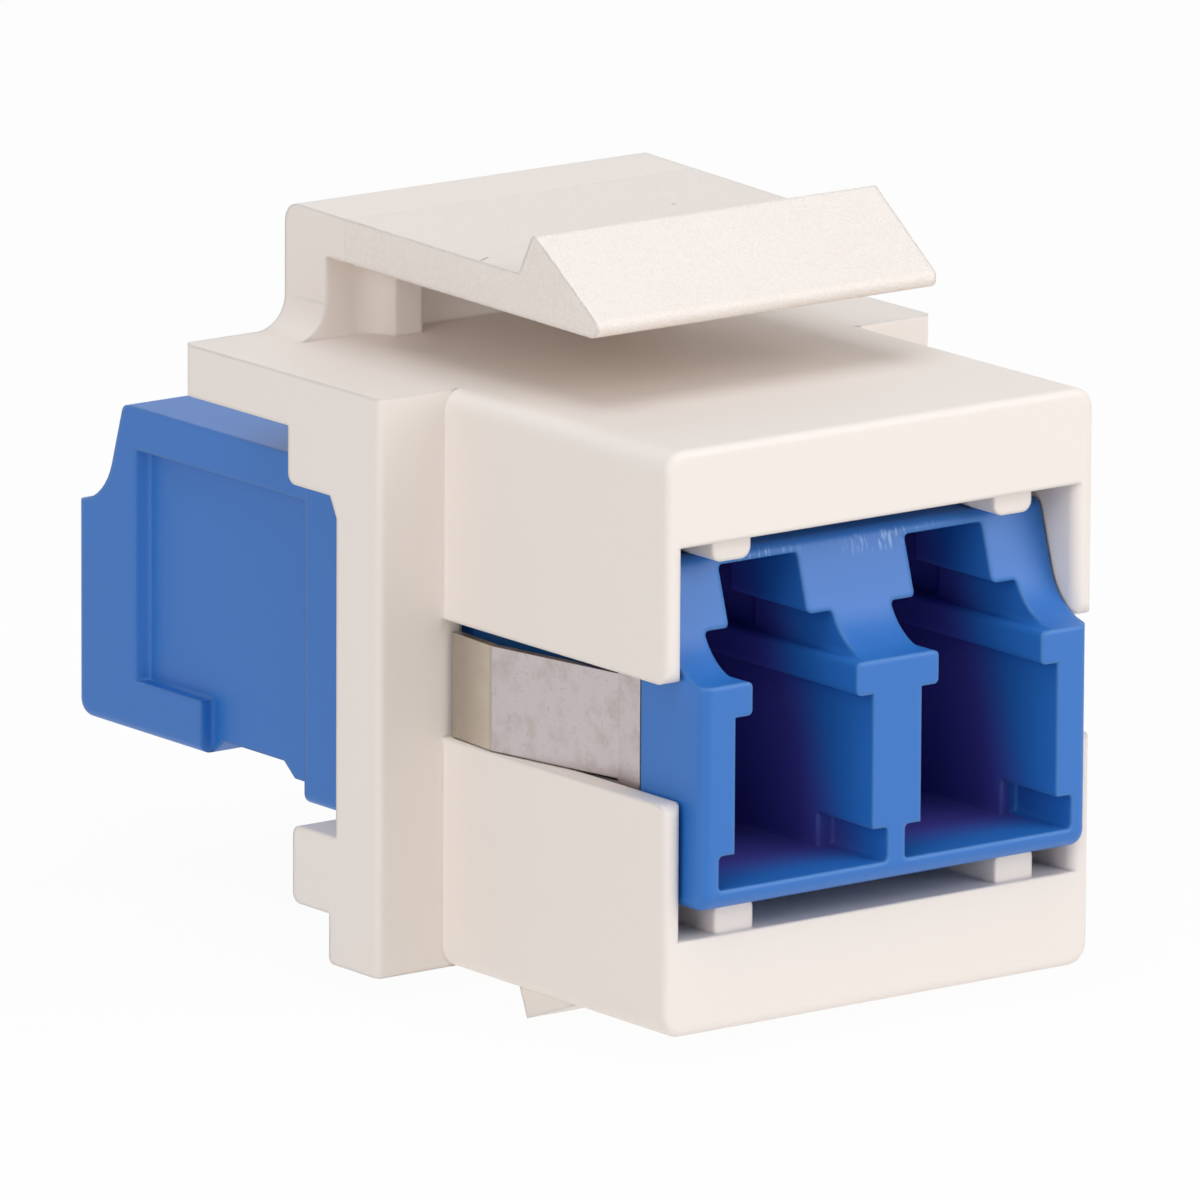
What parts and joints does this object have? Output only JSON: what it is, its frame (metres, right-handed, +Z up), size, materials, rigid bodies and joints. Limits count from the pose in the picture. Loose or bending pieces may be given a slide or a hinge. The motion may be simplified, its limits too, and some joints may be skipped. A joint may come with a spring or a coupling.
{
  "type": "lc fibre adapter",
  "caption": "Snap-in keystone housing with a flexing latch, holding a duplex LC adapter with ports at both ends and a steel retaining clip.",
  "frame": {"origin": "middle of the panel opening, on the plane of the flange's front face", "axes": "+X right seen from the front ports, +Y rearwards along the ports, away from the user, +Z up towards the latch"},
  "size_m": [0.0186, 0.0284, 0.0211],
  "materials": {
    "housing_plastic": "fine-grained satin, light almond",
    "adapter_plastic": "satin, single-mode blue",
    "sleeve_ceramic": "ground white zirconia",
    "clip_steel": "rolled stainless strip with cut edges"
  },
  "bodies": {
    "adapter_body": {"keystone_housing": "housing_plastic", "adapter_front_shell": "adapter_plastic", "adapter_rear_shell": "adapter_plastic", "alignment_sleeve_left": "sleeve_ceramic", "alignment_sleeve_right": "sleeve_ceramic", "retaining_clip": "clip_steel"},
    "latch": {"latch_arm": "housing_plastic"}
  },
  "joints": [
    {"name": "latch_flex", "type": "hinge", "parent": "adapter_body", "child": "latch", "pos_m": [0, 0.0062, 0.0102], "axis": [1, 0, 0], "range_deg": [0, 9.5], "stiffness_Nm_per_rad": 0.9}
  ]
}
